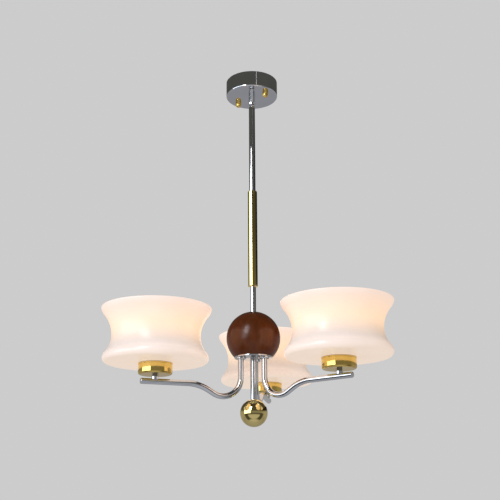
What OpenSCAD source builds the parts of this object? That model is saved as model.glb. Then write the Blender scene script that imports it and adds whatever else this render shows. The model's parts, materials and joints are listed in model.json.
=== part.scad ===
// Three-arm chandelier: a chrome stem with a brass sleeve hangs from a ball swivel under a
// small canopy and carries a wood ball, three bent arms with opal shades, and a brass finial.
// Millimetres. The origin is the centre of the crossbar's top face, on the ceiling, +Z up.
// Arm 1 points along +X, and arms 2 and 3 follow every 120 degrees.

/* [Overall] */
// Ceiling to the centre of the wood ball
drop = 530; // [480:1:700]
// Chandelier axis to the centre of each shade
arm_reach = 186; // [180:1:220]

/* [Ceiling end] */
// Outside diameter of the canopy
canopy_d = 103; // [98:1:130]
// Height of the canopy
canopy_h = 32; // [30:1:40]
// Sheet thickness of the canopy
canopy_t = 1.2; // [0.8:0.1:1.6]
// Rounding of the canopy's lower edge
canopy_edge_r = 2; // [1.7:0.1:4]
// Distance between the two hanging screws
screw_spacing = 70; // [70:1:76]
// Distance between the centres of the ceiling slots
slot_spacing = 40; // [38:1:42]
// Length of each ceiling slot, end to end
slot_length = 12; // [8:1:14]
// Width of each ceiling slot
slot_w = 5; // [4:0.5:6]
// Diameter of the cap nuts
cap_nut_d = 12; // [8:0.5:13]
// Height of the cap nuts
cap_nut_h = 11; // [10.5:0.5:16]

/* [Swivel] */
// Diameter of the swivel barrel
swivel_d = 14; // [14:0.5:18]
// Height of the swivel barrel
swivel_h = 17; // [17:0.5:18]
// Diameter of the swivel's ball
swivel_ball_d = 9.4; // [9:0.1:9.4]

/* [Stem] */
// Diameter of the rod above the sleeve
upper_rod_d = 12.3; // [12:0.1:13]
// Diameter of the rod below the sleeve
lower_rod_d = 10.8; // [10:0.1:11.4]
// Diameter of the brass sleeve
sleeve_d = 18; // [17:0.5:22]
// Ceiling to the top of the brass sleeve
sleeve_top = 237; // [200:1:270]
// Length of the brass sleeve
sleeve_length = 194; // [160:1:200]

/* [Hub] */
// Diameter of the wood ball
ball_d = 100; // [98:1:104]
// Centre of the wood ball to its flat underside
ball_flat = 35; // [34:0.5:36]
// Diameter of the hub plate
plate_d = 71; // [69:0.5:71.2]
// Thickness of the hub plate
plate_t = 2.5; // [2:0.5:4]
// Chandelier axis to the centre of each arm's upright
arm_root = 25; // [24.5:0.5:25]
// Diameter of the finial's stem
finial_stem_d = 12.5; // [12:0.5:14]
// Diameter of the finial ball
finial_d = 50; // [46:1:54]
// Centre of the wood ball to the centre of the finial ball
finial_drop = 137; // [130:1:160]

/* [Arm] */
// Diameter of the arm tube
tube_d = 10.6; // [10.4:0.1:11.4]
// Wall of the arm tube
tube_t = 1; // [0.8:0.1:1.2]
// Radius of the lower bend, on the tube's centre line
bend_r = 35; // [30:1:36]
// Centre of the wood ball to the centre of the lower bend
bend_drop = 74.5; // [70:0.5:80]
// Slope of the tube between its two bends, in degrees
rise_angle = 30; // [25:1:35]
// Length of the sloping stretch between the bends
rise_length = 10; // [5:1:12]
// Radius of the upper bend, on the tube's centre line
ease_r = 80; // [60:1:84]
// Length of the tube beyond the centre of the shade
tube_tail = 26; // [12:1:32]

/* [Cup] */
// Diameter of the brass cup
cup_d = 60.8; // [58:0.2:66]
// Height of the brass cup
cup_h = 19.6; // [19:0.2:24]
// Rounding of the cup's lower edge
cup_edge_r = 4; // [2:0.5:6]
// Diameter of the neck under the cup
neck_d = 12.5; // [12.4:0.1:14]
// Gap between the arm tube and the cup
neck_gap = 6.4; // [6:0.1:8]

/* [Shade] */
// Diameter of the shade's rim
rim_d = 198; // [194:1:204]
// Diameter of the shade's waist
waist_d = 158.4; // [154:0.2:166]
// Diameter of the shade at its lower shoulder
base_d = 188; // [184:0.2:196]
// Radius of the hollow curve below the waist
waist_curve_r = 48; // [46:1:52]
// Radius of the hollow curve above the waist
upper_curve_r = 60; // [56:1:64]
// Radius of the flare that carries the rim
flare_r = 26; // [22:1:30]
// Angle between the flare and the upright at the rim, in degrees
rim_angle = 16; // [12:1:20]
// Radius of the lower shoulder
shoulder_r = 13.7; // [12:0.1:16]
// Radius of the edge between the shoulder and the underside
base_edge_r = 7.5; // [5:0.5:9]
// Thickness of the glass
glass_t = 3.2; // [2.8:0.1:3.6]

/* [Lamp] */
// Diameter of the lamp's globe
globe_d = 45; // [45:1:50]
// Overall length of the lamp
lamp_length = 79.5; // [75:0.5:90]

/* [Hidden] */
$fn = 96;
ARMS = [1, 2, 3];
// Clearance of a fitted pair on the radius, how far joined stretches run into each other, and how
// much a bent stretch is thinner than a straight one
fit = 0.05;
lap = 0.05;
bend_thinning = 0.02;

// Thread sizes, drawn as plain cylinders at their outside radius
m4_r = 1.95;
m8_r = 4;
m10_r = 5;
m8_bore_r = 2.6;
m10_bore_r = 3.2;
lead_r = 1.7;
core_r = 1.3;

// Crossbar
bar_t = 1.6;
bar_w = 18;
bar_half = 46;
bar_flat_half = 27;
bar_step = 4;
screw_head_r = 3.8;
screw_head_h = 2.4;
screw_x = screw_spacing / 2;

// Canopy and what it holds
canopy_floor = -canopy_h + canopy_t;
canopy_nut_h = 2.8;
canopy_nut_r = 8.6;
nipple_top = canopy_floor + canopy_nut_h + 0.5;
block_size = [32, 16, 16];
block_y = 15.5;
port_r = 1.9;
port_pitch = 10;
lead_bend_r = 8;

// Swivel: the ball turns in a liner, and the liner turns in the barrel
swivel_r = swivel_d / 2;
swivel_ball_r = swivel_ball_d / 2;
liner_in_r = swivel_ball_r + fit;
liner_out_r = liner_in_r + 0.6;
seat_r = liner_out_r + fit;
barrel_neck_z = -canopy_h - 6.5;
swivel_z = -canopy_h - 11.7;
skirt_top = swivel_z + 3;
skirt_thread_r = seat_r + 0.8;
swivel_end = -canopy_h - swivel_h;
neck_r = 2.7;
ball_bore_r = 1.9;
lip_depth = 3.5;
relief_r = 4.7;
liner_up = 2.6;
liner_down = 2.5;

// Stem
upper_rod_top = swivel_end - 2.2;
upper_rod_r = upper_rod_d / 2;
lower_rod_r = lower_rod_d / 2;
stud_length = 9.8;
sleeve_r = sleeve_d / 2;
sleeve_z = -sleeve_top;
sleeve_end = sleeve_z - sleeve_length;
sleeve_t = 1;
bush_flange = 3;
bush_spigot = 8;
bush_bevel = 1.2;
joint_z = sleeve_z - 60;
coupler_h = 14;
coupler_spigot = 12;

// Hub
ball_z = -drop;
ball_r = ball_d / 2;
flat_z = ball_z - ball_flat;
plate_z = flat_z - plate_t;
plate_r = plate_d / 2;
plate_bevel = 0.6;
rod_seat_z = ball_z + ball_r - 10;
cavity_top = flat_z + 25;
cavity_r = 33;
boss_h = 6;
boss_r = 8;
hickey_leg = [4, 8];
hub_nipple_top = rod_seat_z + 14;
splice_r = 2.4;
splice_h = 7.5;

// Finial
finial_r = finial_d / 2;
finial_z = ball_z - finial_drop;
finial_stem_r = finial_stem_d / 2;
finial_seat_z = finial_z + finial_r - 2.7;
spigot_length = 8;

// Arm
tube_r = tube_d / 2;
tube_in_r = tube_r - tube_t;
bend_x = arm_root + bend_r;
bend_z = ball_z - bend_drop;
rise_x = bend_x + bend_r * sin(rise_angle);
rise_z = bend_z - bend_r * cos(rise_angle);
ease_x = rise_x + rise_length * cos(rise_angle) + ease_r * sin(rise_angle);
run_z = rise_z + rise_length * sin(rise_angle) + ease_r * (1 - cos(rise_angle));
tube_end = arm_reach + tube_tail;
tube_cap_t = 2;
spigot_top = flat_z + 8;
collar_r = 9.5;
collar_h = 3.2;
collar_bevel = 1;
arm_nut_r = 7.5;
arm_nut_h = 4.5;
lead_turn_r = 8;
wire_hole_r = 3;

// Neck, cup and lampholder
neck_radius = neck_d / 2;
neck_bottom = run_z + 3.6;
cup_z = run_z + tube_r + neck_gap;
cup_r = cup_d / 2;
cup_t = 1.2;
cup_top = cup_z + cup_h;
stud_into_neck = 5.2;
holder_z = cup_z + cup_t;
holder_base_r = 13.5;
holder_base_h = 14.2;
holder_r = 19.5;
holder_top = holder_z + 47.2;
holder_chamber_r = 3.6;

// Shade and its ring
gasket_t = 0.8;
glass_z = cup_top + gasket_t;
glass_hole_r = 20.5;
ring_z = glass_z + glass_t + gasket_t;
ring_r = 27;
ring_flange_t = 2.5;
ring_collar_r = 22.5;
ring_h = 9;

// Lamp
cap_r = 13.2;
cap_h = 24;
cap_tip_r = 5;
cap_tip_h = 2;
cap_cone_h = 4;
cap_bore_r = cap_r + 0.08;
lamp_mouth_r = 16.8;
lamp_z = holder_z + 16.2;
globe_r = globe_d / 2;
globe_z = lamp_z + lamp_length - globe_r;
globe_t = 1.5;
globe_neck_up = 15;
socket_floor = lamp_z;
arm_lead_end = socket_floor - 6;

ARM_PIECES = ["arm_tube", "arm_collar", "arm_lock_nut", "arm_lead", "cup_neck", "cup", "lampholder",
              "shade_gaskets", "shade", "shade_ring", "bulb_cap", "bulb_globe"];
STEM_PIECES = ["crossbar", "bracket_screws", "terminal_block", "canopy", "canopy_nipple",
               "canopy_lock_nut", "cap_nuts", "swivel_body", "swivel_skirt", "supply_lead",
               "swivel_liner", "swivel_ball", "upper_rod", "sleeve_bushes", "brass_sleeve",
               "rod_coupler", "lower_rod", "wood_ball", "hub_plate", "hub_nipple", "hub_hickey",
               "finial_stem", "finial_ball", "main_lead"];

// An upright rod or tube between two heights
module upright(r, low, high) {
    translate([0, 0, low])
        cylinder(r = r, h = high - low);
}

module tube(r_out, r_in, low, high) {
    difference() {
        upright(r_out, low, high);
        upright(r_in, low - 1, high + 1);
    }
}

// An upright six-sided nut with a plain bore
module hex_nut(corner_r, bore_r, low, high) {
    difference() {
        translate([0, 0, low])
            cylinder(r = corner_r, h = high - low, $fn = 6);
        upright(bore_r, low - 1, high + 1);
    }
}

// A closed round cup form whose lower edge is rounded
module rounded_cup(r, low, high, edge_r) {
    rotate_extrude()
        union() {
            translate([0, low + edge_r])
                square([r, high - low - edge_r]);
            translate([0, low])
                square([r - edge_r, edge_r + 0.01]);
            intersection() {
                translate([r - edge_r, low + edge_r])
                    circle(r = edge_r);
                translate([0, low])
                    square([r, high - low]);
            }
        }
}

function arc(cx, cz, r, from, to, steps) =
    [for (k = [0 : steps - 1]) let (a = from + (to - from) * k / steps) [cx + r * cos(a), cz + r * sin(a)]];

module on_arm(i) {
    rotate([0, 0, 120 * (i - 1)])
        children();
}

module at_shade() {
    translate([arm_reach, 0, 0])
        children();
}

// ---- ceiling end ----

module crossbar() {
    low = -bar_step;
    slope = bar_t * tan(22.5);
    outline = [[-bar_half, low], [-bar_flat_half - bar_step, low], [-bar_flat_half, 0], [bar_flat_half, 0],
               [bar_flat_half + bar_step, low], [bar_half, low], [bar_half, low - bar_t],
               [bar_flat_half + bar_step - slope, low - bar_t], [bar_flat_half - slope, -bar_t],
               [-bar_flat_half + slope, -bar_t], [-bar_flat_half - bar_step + slope, low - bar_t],
               [-bar_half, low - bar_t]];
    color("silver")
        difference() {
            rotate([90, 0, 0])
                linear_extrude(bar_w, center = true)
                    polygon(outline);
            for (side = [-1, 1]) {
                translate([side * slot_spacing / 2, 0, -5])
                    linear_extrude(10)
                        union() {
                            square([slot_length - slot_w, slot_w], center = true);
                            for (end = [-1, 1])
                                translate([end * (slot_length - slot_w) / 2, 0])
                                    circle(d = slot_w);
                        }
                translate([side * screw_x, 0, 0])
                    upright(m4_r + fit, -10, 1);
            }
        }
}

module bracket_screws() {
    head_z = -bar_step;
    color("gainsboro")
        for (side = [-1, 1])
            translate([side * screw_x, 0, 0])
                difference() {
                    union() {
                        upright(screw_head_r, head_z, head_z + screw_head_h);
                        upright(m4_r, -canopy_h - cap_nut_h + 2.5, head_z);
                    }
                    for (turn = [0, 90])
                        rotate([0, 0, turn])
                            translate([-2.2, -0.45, head_z + 1])
                                cube([4.4, 0.9, 3]);
                }
}

module terminal_block() {
    color("ivory")
        difference() {
            translate([-block_size[0] / 2, block_y, canopy_floor])
                cube(block_size);
            for (k = [-1, 0, 1])
                translate([k * port_pitch, 0, nipple_top + lead_bend_r]) {
                    translate([0, block_y - 1, 0])
                        rotate([-90, 0, 0])
                            cylinder(r = port_r, h = block_size[1] + 2);
                    for (row = [0.3, 0.7])
                        translate([0, block_y + row * block_size[1], 0])
                            cylinder(r = 1.6, h = 20);
                }
            for (k = [-0.5, 0.5])
                translate([k * port_pitch, block_y + block_size[1] / 2, canopy_floor - 1])
                    cylinder(r = 1.5, h = block_size[2] + 2);
        }
}

module canopy() {
    color("lightsteelblue")
        difference() {
            rounded_cup(canopy_d / 2, -canopy_h, 0, canopy_edge_r);
            rounded_cup(canopy_d / 2 - canopy_t, canopy_floor, 1, canopy_edge_r - canopy_t);
            upright(m10_r + fit, -canopy_h - 1, 0);
            for (side = [-1, 1])
                translate([side * screw_x, 0, 0])
                    upright(m4_r + 0.3, -canopy_h - 1, 0);
        }
}

module canopy_nipple() {
    color("gold")
        tube(m10_r, m10_bore_r, barrel_neck_z, nipple_top);
}

module canopy_lock_nut() {
    color("gold")
        hex_nut(canopy_nut_r, m10_r + fit, canopy_floor, canopy_floor + canopy_nut_h);
}

module cap_nuts() {
    color("goldenrod")
        for (side = [-1, 1])
            translate([side * screw_x, 0, 0])
                difference() {
                    rounded_cup(cap_nut_d / 2, -canopy_h - cap_nut_h, -canopy_h, 1.5);
                    upright(m4_r + fit, -canopy_h - cap_nut_h + 2, -canopy_h + 1);
                }
}

module swivel_body() {
    color("lightsteelblue")
        difference() {
            union() {
                upright(swivel_r, skirt_top, -canopy_h);
                upright(skirt_thread_r, swivel_z, skirt_top);
            }
            upright(m10_r + fit, barrel_neck_z, 0);
            upright(seat_r, swivel_z - 1, barrel_neck_z);
        }
}

module swivel_skirt() {
    cone_top = swivel_end + 4;
    color("lightsteelblue")
        difference() {
            union() {
                upright(swivel_r, cone_top, skirt_top);
                translate([0, 0, swivel_end])
                    cylinder(r1 = swivel_r - 1.2, r2 = swivel_r, h = cone_top - swivel_end);
            }
            upright(skirt_thread_r + fit, swivel_z, skirt_top + 1);
            translate([0, 0, swivel_z])
                sphere(r = seat_r);
            upright(relief_r, swivel_end - 1, swivel_z - lip_depth);
        }
}

module supply_lead() {
    color("black")
        rotate([0, 0, 90])
            union() {
                upright(lead_r, swivel_z + swivel_ball_r + 0.4, nipple_top + lap);
                ring_part(lead_bend_r, nipple_top, lead_bend_r, lead_r, 90, 180);
                translate([lead_bend_r - lap, 0, nipple_top + lead_bend_r])
                    rotate([0, 90, 0])
                        cylinder(r = lead_r, h = block_y + 4 - lead_bend_r + lap);
            }
}

// ---- swivel ----

module swivel_liner() {
    color("white")
        intersection() {
            translate([0, 0, swivel_z])
                difference() {
                    sphere(r = liner_out_r);
                    sphere(r = liner_in_r);
                }
            upright(swivel_r, swivel_z - liner_down, swivel_z + liner_up);
        }
}

module swivel_ball() {
    color("lightsteelblue")
        difference() {
            union() {
                translate([0, 0, swivel_z])
                    sphere(r = swivel_ball_r);
                upright(neck_r, upper_rod_top, swivel_z);
                upright(m10_r, upper_rod_top - stud_length, upper_rod_top);
            }
            upright(ball_bore_r, upper_rod_top - stud_length - 1, swivel_z + swivel_ball_r + 1);
        }
}

// ---- stem ----

module upper_rod() {
    color("lightsteelblue")
        tube(upper_rod_r, m10_r + fit, joint_z, upper_rod_top);
}

module bush(bore_r) {
    difference() {
        rotate_extrude()
            polygon([[0, -bush_spigot], [sleeve_r - sleeve_t - fit, -bush_spigot],
                     [sleeve_r - sleeve_t - fit, 0], [sleeve_r, 0], [sleeve_r, bush_flange - bush_bevel],
                     [sleeve_r - bush_bevel, bush_flange], [0, bush_flange]]);
        upright(bore_r, -bush_spigot - 1, bush_flange + 1);
    }
}

module sleeve_bushes() {
    color("goldenrod")
        union() {
            translate([0, 0, sleeve_z - bush_flange])
                bush(upper_rod_r + fit);
            translate([0, 0, sleeve_end + bush_flange])
                mirror([0, 0, 1])
                    bush(lower_rod_r + fit);
        }
}

module brass_sleeve() {
    color("goldenrod")
        tube(sleeve_r, sleeve_r - sleeve_t, sleeve_end + bush_flange, sleeve_z - bush_flange);
}

module rod_coupler() {
    color("silver")
        difference() {
            union() {
                upright(m10_r, joint_z, joint_z + coupler_spigot);
                upright(sleeve_r - sleeve_t - 0.5, joint_z - coupler_h, joint_z);
                upright(m8_r, joint_z - coupler_h - coupler_spigot, joint_z - coupler_h);
            }
            upright(m8_bore_r, joint_z - coupler_h - coupler_spigot - 1, joint_z + coupler_spigot + 1);
        }
}

module lower_rod() {
    color("lightsteelblue")
        tube(lower_rod_r, m8_r + fit, rod_seat_z, joint_z - coupler_h);
}

module main_lead() {
    bottom = cavity_top - 2 * boss_h;
    color("black")
        union() {
            upright(lead_r, bottom, swivel_z + swivel_ball_r - 0.5);
            upright(splice_r, bottom - splice_h / 2, bottom);
        }
}

// ---- hub ----

module wood_ball() {
    color("saddlebrown")
        difference() {
            translate([0, 0, ball_z])
                sphere(r = ball_r);
            upright(ball_r, ball_z - ball_r - 1, flat_z);
            upright(cavity_r, flat_z - 1, cavity_top);
            upright(m8_r + fit, cavity_top - 1, rod_seat_z + 1);
            upright(lower_rod_r + fit, rod_seat_z, ball_z + ball_r + 1);
        }
}

module hub_plate() {
    color("lightsteelblue")
        difference() {
            union() {
                upright(plate_r, plate_z + plate_bevel, flat_z);
                translate([0, 0, plate_z])
                    cylinder(r1 = plate_r - plate_bevel, r2 = plate_r, h = plate_bevel);
            }
            upright(m8_r + fit, plate_z - 1, flat_z + 1);
            for (i = ARMS)
                on_arm(i)
                    translate([arm_root, 0, 0])
                        upright(m8_r + fit, plate_z - 1, flat_z + 1);
        }
}

module hub_nipple() {
    color("gold")
        tube(m8_r, m8_bore_r, cavity_top - boss_h, hub_nipple_top);
}

// An open fitting: a boss at each end and a leg at each side, so the wires can come out
module hub_hickey() {
    color("silver")
        difference() {
            union() {
                upright(boss_r, cavity_top - boss_h, cavity_top);
                upright(boss_r, flat_z, flat_z + boss_h);
                for (side = [-1, 1])
                    translate([side * (boss_r + hickey_leg[0] / 2 - 1) - hickey_leg[0] / 2,
                               -hickey_leg[1] / 2, flat_z])
                        cube([hickey_leg[0], hickey_leg[1], cavity_top - flat_z]);
            }
            upright(m8_r + fit, flat_z - 1, cavity_top + 1);
        }
}

module finial_stem() {
    color("lightsteelblue")
        union() {
            upright(finial_stem_r, finial_seat_z, plate_z);
            upright(m8_r, plate_z - 1, plate_z + spigot_length);
            upright(m8_r, finial_seat_z - spigot_length, finial_seat_z + 1);
        }
}

module finial_ball() {
    color("goldenrod")
        difference() {
            translate([0, 0, finial_z])
                sphere(r = finial_r);
            upright(finial_stem_r + fit, finial_seat_z, finial_z + finial_r + 1);
            upright(m8_r + fit, finial_seat_z - spigot_length - 1, finial_seat_z + 1);
        }
}

// ---- one arm ----

// Part of a ring in the XZ plane, with its angles counted from +X towards +Z
module ring_part(cx, cz, ring_radius, r, from, to) {
    translate([cx, 0, cz])
        rotate([90, 0, 0])
            rotate([0, 0, from])
                rotate_extrude(angle = to - from)
                    translate([ring_radius, 0])
                        circle(r = r - bend_thinning);
}

// The arm's line, from a height on its upright to a place on its level run
module arm_line(r, top, end_x) {
    translate([arm_root, 0, 0])
        upright(r, bend_z - lap, top);
    ring_part(bend_x, bend_z, bend_r, r, 180, 270 + rise_angle);
    translate([rise_x, 0, rise_z])
        rotate([0, 90 - rise_angle, 0])
            upright(r, -lap, rise_length + lap);
    ring_part(ease_x, run_z - ease_r, ease_r, r, 90, 90 + rise_angle);
    translate([ease_x, 0, run_z])
        rotate([0, 90, 0])
            upright(r, -lap, end_x - ease_x);
}

module arm_tube() {
    cap_bevel = 0.8;
    color("lightsteelblue")
        difference() {
            union() {
                arm_line(tube_r, plate_z, tube_end - cap_bevel);
                translate([tube_end - cap_bevel - lap, 0, run_z])
                    rotate([0, 90, 0])
                        cylinder(r1 = tube_r, r2 = tube_r - cap_bevel, h = cap_bevel + lap);
                translate([arm_root, 0, 0])
                    upright(m8_r, plate_z - 1, spigot_top);
            }
            arm_line(tube_in_r, plate_z - 2, tube_end - tube_cap_t);
            translate([arm_root, 0, 0])
                upright(m8_bore_r, plate_z - 3, spigot_top + 1);
            at_shade()
                upright(wire_hole_r, run_z, run_z + tube_r + 1);
        }
}

module arm_collar() {
    color("lightsteelblue")
        translate([arm_root, 0, 0])
            difference() {
                union() {
                    upright(collar_r, plate_z - collar_h + collar_bevel, plate_z - fit);
                    translate([0, 0, plate_z - collar_h])
                        cylinder(r1 = collar_r - collar_bevel, r2 = collar_r, h = collar_bevel);
                }
                upright(tube_r + fit, plate_z - collar_h - 1, plate_z + 1);
            }
}

module arm_lock_nut() {
    color("gold")
        translate([arm_root, 0, 0])
            hex_nut(arm_nut_r, m8_r + fit, flat_z, flat_z + arm_nut_h);
}

module arm_lead() {
    turn_x = arm_reach - lead_turn_r;
    color("black")
        union() {
            arm_line(core_r, cavity_top - splice_h, turn_x + lap);
            translate([arm_root, 0, 0])
                upright(splice_r, cavity_top - 1 - splice_h, cavity_top - 1);
            ring_part(turn_x, run_z + lead_turn_r, lead_turn_r, core_r, 270, 360);
            at_shade()
                upright(core_r, run_z + lead_turn_r - lap, arm_lead_end);
        }
}

module cup_neck() {
    color("lightsteelblue")
        at_shade()
            difference() {
                upright(neck_radius, neck_bottom, cup_z);
                translate([-10, 0, run_z])
                    rotate([0, 90, 0])
                        cylinder(r = tube_r + fit, h = 20);
                upright(wire_hole_r, run_z, cup_z);
                upright(m10_r + fit, cup_z - stud_into_neck - 0.2, cup_z + 1);
            }
}

module cup() {
    color("goldenrod")
        at_shade()
            difference() {
                rounded_cup(cup_r, cup_z, cup_top, cup_edge_r);
                rounded_cup(cup_r - cup_t, holder_z, cup_top + 1, cup_edge_r - cup_t);
                upright(m10_r + fit, cup_z - 1, holder_z + 1);
            }
}

module lampholder() {
    color("ivory")
        at_shade()
            difference() {
                union() {
                    upright(m10_r, cup_z - stud_into_neck, holder_z);
                    upright(holder_base_r, holder_z, holder_z + holder_base_h);
                    upright(holder_r, holder_z + holder_base_h, holder_top);
                }
                upright(holder_chamber_r, cup_z - stud_into_neck - 1, arm_lead_end);
                upright(cap_bore_r, socket_floor, holder_top + 1);
                upright(lamp_mouth_r, lamp_z + cap_h - 1, holder_top + 1);
            }
}

module shade_gaskets() {
    color("dimgray")
        at_shade() {
            tube(cup_r - 0.3, glass_hole_r + 0.5, cup_top, glass_z);
            tube(ring_r, holder_r + 0.5, glass_z + glass_t, ring_z);
        }
}

// Half of the glass's section, inset from its outer face by t
function glass_line(t) =
    let (waist_r = waist_d / 2,
         base_r = base_d / 2,
         low_turn = acos(1 - (base_r - waist_r) / (shoulder_r + waist_curve_r)),
         rim_in = flare_r * (1 - cos(rim_angle)),
         high_turn = acos(1 - (rim_d / 2 - waist_r + rim_in) / (flare_r + upper_curve_r)),
         waist_z = base_edge_r + (shoulder_r + waist_curve_r) * sin(low_turn),
         flare_z = waist_z + (upper_curve_r + flare_r) * sin(high_turn),
         flare_x = waist_r + upper_curve_r - (upper_curve_r + flare_r) * cos(high_turn))
    concat(
        [[glass_hole_r, t]],
        arc(base_r - base_edge_r, base_edge_r, base_edge_r - t, -90, 0, 6),
        arc(base_r - shoulder_r, base_edge_r, shoulder_r - t, 0, low_turn, 6),
        arc(waist_r + waist_curve_r, waist_z, waist_curve_r + t, 180 + low_turn, 180, 10),
        arc(waist_r + upper_curve_r, waist_z, upper_curve_r + t, 180, 180 - high_turn, 10),
        arc(flare_x, flare_z, flare_r - t, -high_turn, -rim_angle, 8),
        [[flare_x + (flare_r - t) * cos(rim_angle), flare_z - (flare_r - t) * sin(rim_angle)]]);

function backwards(list) = [for (k = [len(list) - 1 : -1 : 0]) list[k]];

module shade() {
    color("seashell")
        at_shade()
            translate([0, 0, glass_z])
                rotate_extrude()
                    polygon(concat(glass_line(0), backwards(glass_line(glass_t))));
}

module shade_ring() {
    color("whitesmoke")
        at_shade()
            difference() {
                union() {
                    upright(ring_r, ring_z, ring_z + ring_flange_t);
                    upright(ring_collar_r, ring_z, ring_z + ring_h);
                }
                upright(holder_r + fit, ring_z - 1, ring_z + ring_h + 1);
            }
}

module bulb_cap() {
    barrel_z = lamp_z + cap_tip_h + cap_cone_h;
    color("silver")
        at_shade()
            union() {
                upright(cap_tip_r, lamp_z, lamp_z + cap_tip_h);
                translate([0, 0, lamp_z + cap_tip_h])
                    cylinder(r1 = cap_tip_r, r2 = cap_r, h = cap_cone_h);
                upright(cap_r, barrel_z, lamp_z + cap_h);
            }
}

module bulb_globe() {
    neck_top_z = globe_z - globe_neck_up;
    neck_top_r = sqrt(globe_r * globe_r - globe_neck_up * globe_neck_up);
    color("white")
        at_shade()
            difference() {
                union() {
                    translate([0, 0, globe_z])
                        sphere(r = globe_r);
                    translate([0, 0, lamp_z + cap_h])
                        cylinder(r1 = cap_r + 0.4, r2 = neck_top_r, h = neck_top_z - lamp_z - cap_h);
                }
                translate([0, 0, globe_z])
                    sphere(r = globe_r - globe_t);
            }
}

// ---- the assembly ----

crossbar();
bracket_screws();
terminal_block();
canopy();
canopy_nipple();
canopy_lock_nut();
cap_nuts();
swivel_body();
swivel_skirt();
supply_lead();
swivel_liner();
swivel_ball();
upper_rod();
sleeve_bushes();
brass_sleeve();
rod_coupler();
lower_rod();
wood_ball();
hub_plate();
hub_nipple();
hub_hickey();
finial_stem();
finial_ball();
main_lead();

for (i = ARMS) {
    on_arm(i) arm_tube();
    on_arm(i) arm_collar();
    on_arm(i) arm_lock_nut();
    on_arm(i) arm_lead();
    on_arm(i) cup_neck();
    on_arm(i) cup();
    on_arm(i) lampholder();
    on_arm(i) shade_gaskets();
    on_arm(i) shade();
    on_arm(i) shade_ring();
    on_arm(i) bulb_cap();
    on_arm(i) bulb_globe();
}
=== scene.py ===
import json
import math

import bmesh
import bpy
from mathutils import Matrix, Vector


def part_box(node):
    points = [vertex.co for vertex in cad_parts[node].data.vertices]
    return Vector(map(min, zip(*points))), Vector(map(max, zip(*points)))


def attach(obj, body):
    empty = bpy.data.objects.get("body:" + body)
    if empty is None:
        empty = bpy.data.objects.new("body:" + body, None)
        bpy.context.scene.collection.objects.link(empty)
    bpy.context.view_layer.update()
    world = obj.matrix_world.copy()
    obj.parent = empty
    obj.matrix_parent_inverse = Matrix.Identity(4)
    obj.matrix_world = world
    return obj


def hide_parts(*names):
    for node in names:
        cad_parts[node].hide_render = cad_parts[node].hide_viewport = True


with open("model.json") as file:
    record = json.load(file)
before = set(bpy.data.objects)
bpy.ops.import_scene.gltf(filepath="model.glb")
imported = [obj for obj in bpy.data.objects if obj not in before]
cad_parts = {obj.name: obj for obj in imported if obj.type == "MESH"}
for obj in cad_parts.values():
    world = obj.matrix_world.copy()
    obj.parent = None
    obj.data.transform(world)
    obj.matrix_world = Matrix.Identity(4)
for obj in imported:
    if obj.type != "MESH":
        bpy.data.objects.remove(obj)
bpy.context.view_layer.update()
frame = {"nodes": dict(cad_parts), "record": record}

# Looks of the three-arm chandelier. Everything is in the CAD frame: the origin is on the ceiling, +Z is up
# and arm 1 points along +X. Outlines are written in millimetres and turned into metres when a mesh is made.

MM = 0.001
ARMS = (1, 2, 3)

record = frame["record"]
body_of = {node: body for body, nodes in record["behaviour"]["bodies"].items() for node in nodes}
slot_of = {part["node"]: part["material_slot"] for part in record["subparts"]}


# ---- sizes taken from the CAD nodes, in millimetres ----

def span(node):
    """Lowest and highest z of a node."""
    low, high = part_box(node)
    return low.z / MM, high.z / MM


def radius(node):
    """Half of a turned node's width across Y."""
    low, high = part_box(node)
    return (high.y - low.y) / 2 / MM


shade_low, shade_high = span("shade_1")
shade_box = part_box("shade_1")
reach = (shade_box[0].x + shade_box[1].x) / 2 / MM
rim_r = radius("shade_1")
ball_flat_z, ball_top = span("wood_ball")
ball_r = radius("wood_ball")
# The ball's top is cut by the rod's hole, so its centre is worked out from the hole's radius.
ROD_HOLE_R = 5.45
ball_z = ball_top - math.sqrt(ball_r ** 2 - ROD_HOLE_R ** 2)

# The gap between pieces that fit together, the clearance holes for the wide and the narrow threaded tube,
# and the narrow tube's own radius.
GAP = 0.05
WIDE_HOLE_R = 5.05
NARROW_HOLE_R = 4.05
NARROW_R = 4


# ---- outlines ----

# How far from a fillet the flat beside it gets its next point, in millimetres.
HOLD = 0.25
# How much of an edge a fillet at one of its ends may take.
EDGE_SHARE = 0.49
# Points closer together than this are one point, and points closer to the axis than this are on it.
SAME_POINT = 1e-4
ON_AXIS = 1e-6


def rounded(corners, steps=5):
    """An outline from (r, z) or (r, z, fillet) corners. Points held near each fillet keep the flats flat.
    The outline is closed, unless its first and last corners lie on the axis."""
    on_axis = corners[0][0] == 0 and corners[-1][0] == 0
    points = []
    count = len(corners)
    for k, corner in enumerate(corners):
        here = Vector(corner[:2])
        fillet = corner[2] if len(corner) > 2 else 0
        if on_axis and k in (0, count - 1):
            points.append(here)
            continue
        before = Vector(corners[k - 1][:2]) - here
        after = Vector(corners[(k + 1) % count][:2]) - here
        if fillet == 0:
            points.append(here)
            continue
        room = EDGE_SHARE * min(before.length, after.length)
        before.normalize()
        after.normalize()
        half = before.angle(after) / 2
        reach_back = min(fillet / math.tan(half), room)
        bend = reach_back * math.tan(half)
        middle = here + (before + after).normalized() * (bend / math.sin(half))
        start = here + before * reach_back - middle
        end = here + after * reach_back - middle
        sweep_angle = math.copysign(math.pi - 2 * half, start.x * end.y - start.y * end.x)
        points.append(here + before * (reach_back + min(HOLD, room - reach_back)))
        for step in range(steps + 1):
            points.append(middle + Matrix.Rotation(sweep_angle * step / steps, 2) @ start)
        points.append(here + after * (reach_back + min(HOLD, room - reach_back)))
    return without_doubles(points)


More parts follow.
